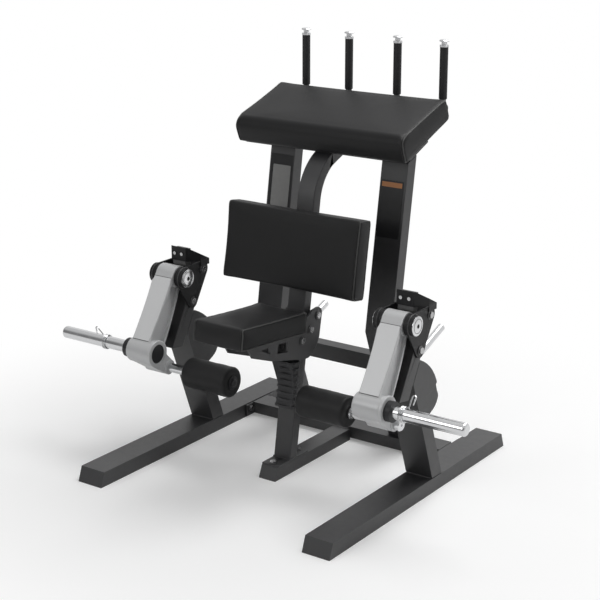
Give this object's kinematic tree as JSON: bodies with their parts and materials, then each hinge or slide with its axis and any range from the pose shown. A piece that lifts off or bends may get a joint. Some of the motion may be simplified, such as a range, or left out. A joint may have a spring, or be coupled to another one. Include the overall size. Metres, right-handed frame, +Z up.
{
  "type": "standing hamstring machine",
  "caption": "Plate-loaded standing leg curl with floor rails, sloped chest pad, thigh and kneeling pads, swinging levers with foam rollers and weight horns",
  "frame": {"origin": "on the floor, midway between the side rails and midway along them", "axes": "+X to the machine's right as the user faces it from the kneeling pad, +Y from the user towards the hand grips, +Z up"},
  "size_m": [1.904, 1.297, 1.6818],
  "materials": {
    "frame_paint": "matte textured powder coat",
    "pad_vinyl": "fine grained vinyl",
    "board": "black stained plywood",
    "chrome": "polished",
    "ground_steel": "ground",
    "satin_silver": "satin silver paint",
    "bronze": "turned",
    "rubber": "matte",
    "roller_foam": "dense foam with a skin",
    "black_plastic": "fine textured"
  },
  "bodies": {
    "frame": {"left_rail": "frame_paint", "right_rail": "frame_paint", "center_rail": "frame_paint", "lower_cross_beam": "frame_paint", "upper_cross_beam": "frame_paint", "left_post": "frame_paint", "right_post": "frame_paint", "center_column": "frame_paint", "column_foot": "frame_paint", "left_lower_leg": "frame_paint", "right_lower_leg": "frame_paint", "left_upper_leg": "frame_paint", "right_upper_leg": "frame_paint", "leg_gussets": "frame_paint", "left_lever_bracket": "frame_paint", "right_lever_bracket": "frame_paint", "stop_guards": "frame_paint", "stop_blocks": "rubber", "rest_bumpers": "rubber", "pivot_shafts": "ground_steel", "pivot_caps": "chrome", "head_tubes": "frame_paint", "chest_board": "board", "chest_pad": "pad_vinyl", "thigh_board": "board", "thigh_pad": "pad_vinyl", "kneel_bracket": "frame_paint", "kneel_board": "board", "kneel_pad": "pad_vinyl", "shin_guard": "black_plastic", "handle_bar": "frame_paint", "hand_grips": "rubber", "grip_caps": "chrome", "storage_pegs": "chrome", "base_bolts": "chrome", "bracket_bolts": "chrome", "kneel_bolts": "chrome", "guard_screws": "chrome"},
    "left_lever": {"left_arm": "satin_silver", "left_bushes": "bronze", "left_horn_sleeve": "black_plastic", "left_weight_horn": "chrome", "left_roller_rod": "chrome", "left_rod_caps": "chrome"},
    "left_roller": {"left_roller_core": "black_plastic", "left_foam_roller": "roller_foam"},
    "left_collar": {"left_spring_collar": "chrome"},
    "right_lever": {"right_arm": "satin_silver", "right_bushes": "bronze", "right_horn_sleeve": "black_plastic", "right_weight_horn": "chrome", "right_roller_rod": "chrome", "right_rod_caps": "chrome"},
    "right_roller": {"right_roller_core": "black_plastic", "right_foam_roller": "roller_foam"},
    "right_collar": {"right_spring_collar": "chrome"}
  },
  "joints": [
    {"name": "left_lever_hinge", "type": "hinge", "parent": "frame", "child": "left_lever", "pos_m": [-0.54, -0.121, 0.734], "axis": [-1, 0, 0], "range_deg": [0, 110]},
    {"name": "left_roller_spin", "type": "hinge", "parent": "left_lever", "child": "left_roller", "pos_m": [-0.279, -0.2011, 0.37122], "axis": [1, 0, 0], "continuous": true},
    {"name": "left_collar_slide", "type": "slide", "parent": "left_lever", "child": "left_collar", "axis": [-1, 0, 0], "range_m": [-0.1, 0.2]},
    {"name": "right_lever_hinge", "type": "hinge", "parent": "frame", "child": "right_lever", "pos_m": [0.54, -0.121, 0.734], "axis": [-1, 0, 0], "range_deg": [0, 110]},
    {"name": "right_roller_spin", "type": "hinge", "parent": "right_lever", "child": "right_roller", "pos_m": [0.279, -0.2011, 0.37122], "axis": [1, 0, 0], "continuous": true},
    {"name": "right_collar_slide", "type": "slide", "parent": "right_lever", "child": "right_collar", "axis": [1, 0, 0], "range_m": [-0.025, 0.235]}
  ]
}
